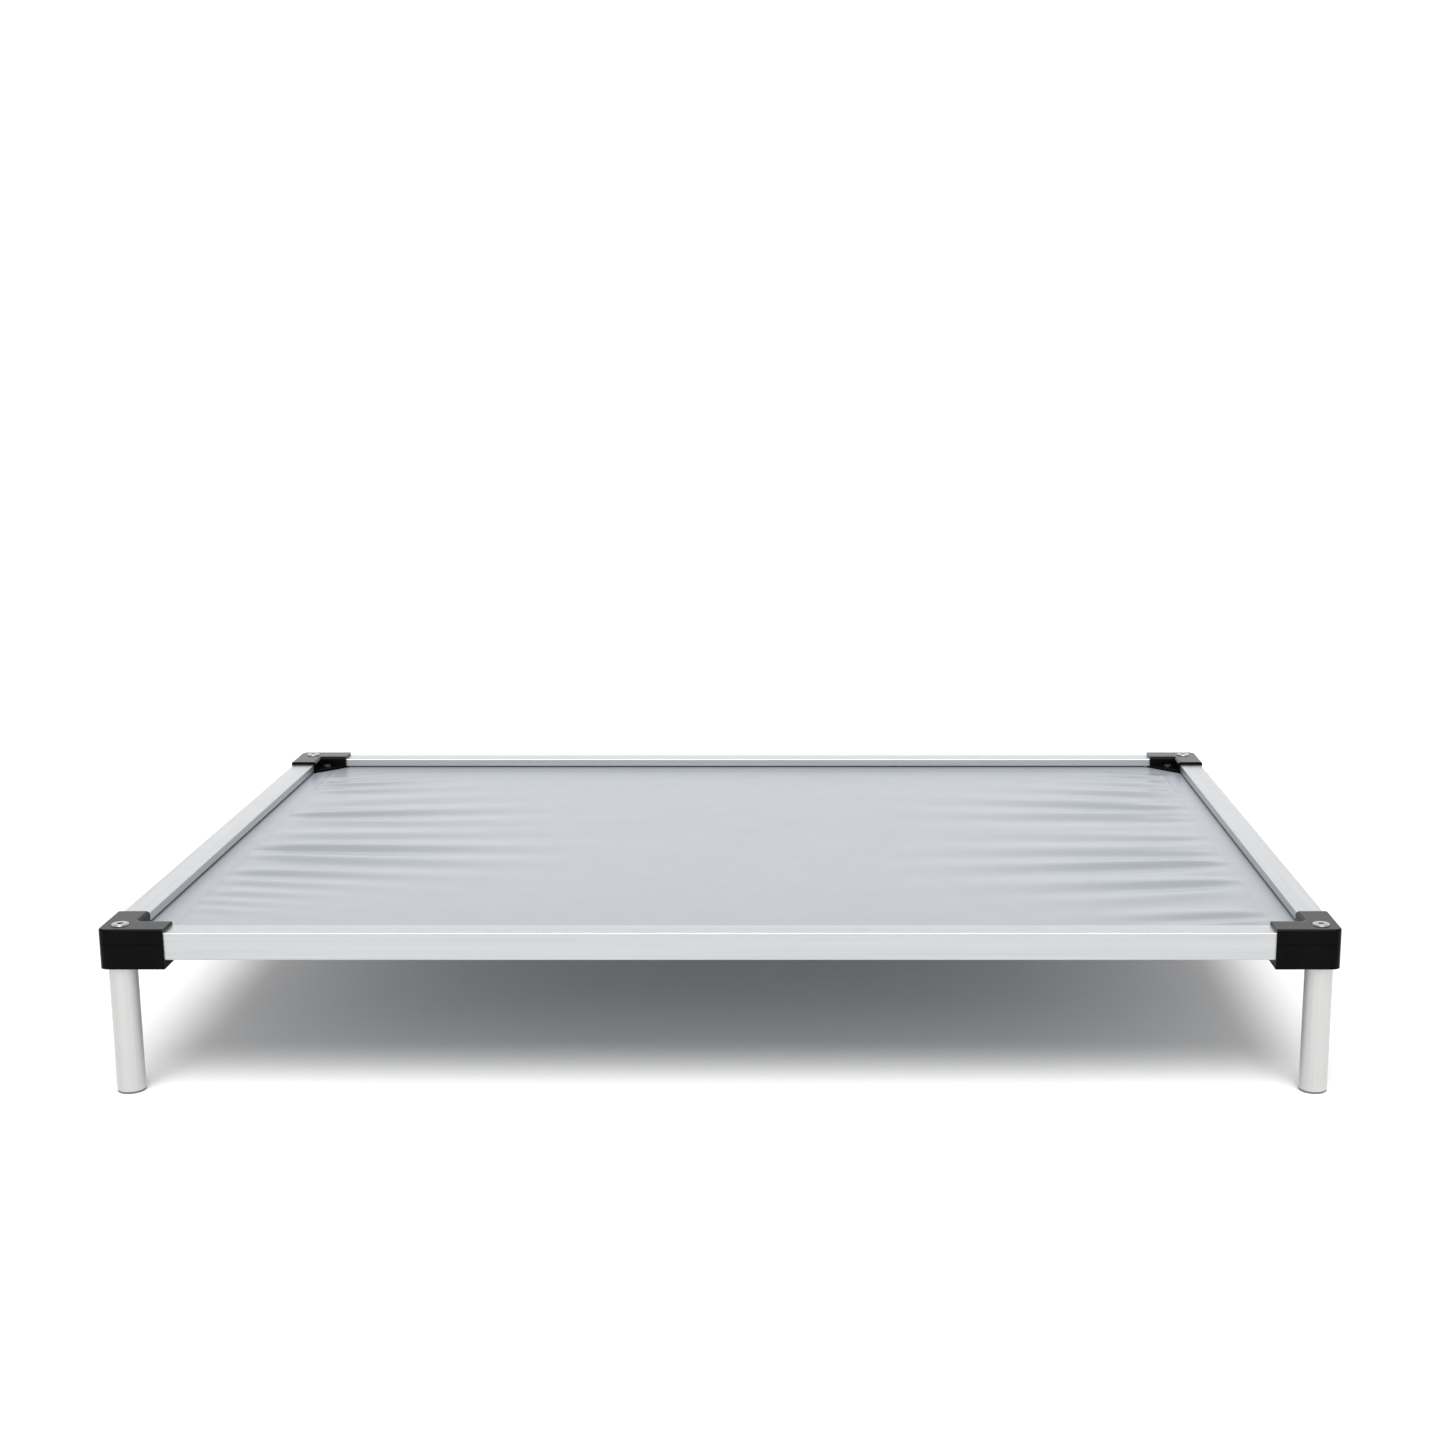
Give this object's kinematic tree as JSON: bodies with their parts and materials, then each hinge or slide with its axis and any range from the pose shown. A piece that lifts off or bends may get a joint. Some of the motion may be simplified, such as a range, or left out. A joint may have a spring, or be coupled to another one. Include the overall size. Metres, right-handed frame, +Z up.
{
  "type": "raised dog bed",
  "caption": "Raised dog bed with a square aluminium rail frame, black moulded corner fittings, round legs and a grey coated cloth sling stretched between the rails.",
  "frame": {"origin": "middle of the bed on the floor, between the four feet", "axes": "+X along the long side to the right, +Y from the front rail to the back rail, +Z up"},
  "size_m": [1.1, 0.755, 0.1562],
  "materials": {
    "rail_aluminium": "satin clear anodised",
    "leg_aluminium": "satin clear anodised",
    "black_nylon": "black moulded nylon, semi-gloss with a fine grain",
    "grey_foot": "dark grey moulded plastic",
    "bright_steel": "zinc plated",
    "black_steel": "black oxide",
    "grey_rod": "extruded plastic",
    "grey_cloth": "satin vinyl-coated polyester"
  },
  "bodies": {
    "root": {"corner_cap_front_left": "black_nylon", "corner_cap_front_right": "black_nylon", "corner_cap_back_right": "black_nylon", "corner_cap_back_left": "black_nylon", "corner_base_front_left": "black_nylon", "corner_base_front_right": "black_nylon", "corner_base_back_right": "black_nylon", "corner_base_back_left": "black_nylon", "leg_tube_front_left": "leg_aluminium", "leg_tube_front_right": "leg_aluminium", "leg_tube_back_right": "leg_aluminium", "leg_tube_back_left": "leg_aluminium", "foot_cap_front_left": "grey_foot", "foot_cap_front_right": "grey_foot", "foot_cap_back_right": "grey_foot", "foot_cap_back_left": "grey_foot", "leg_plug_front_left": "grey_foot", "leg_plug_front_right": "grey_foot", "leg_plug_back_right": "grey_foot", "leg_plug_back_left": "grey_foot", "leg_bolt_front_left": "bright_steel", "leg_bolt_front_right": "bright_steel", "leg_bolt_back_right": "bright_steel", "leg_bolt_back_left": "bright_steel", "gusset_screw_front_left": "black_steel", "gusset_screw_front_right": "black_steel", "gusset_screw_back_right": "black_steel", "gusset_screw_back_left": "black_steel", "gusset_nut_front_left": "bright_steel", "gusset_nut_front_right": "bright_steel", "gusset_nut_back_right": "bright_steel", "gusset_nut_back_left": "bright_steel", "rail_front": "rail_aluminium", "hem_tape_front": "grey_cloth", "hem_rod_front": "grey_rod", "rail_back": "rail_aluminium", "hem_tape_back": "grey_cloth", "hem_rod_back": "grey_rod", "rail_left": "rail_aluminium", "hem_tape_left": "grey_cloth", "hem_rod_left": "grey_rod", "rail_right": "rail_aluminium", "hem_tape_right": "grey_cloth", "hem_rod_right": "grey_rod", "cloth_panel": "grey_cloth"}
  },
  "joints": []
}
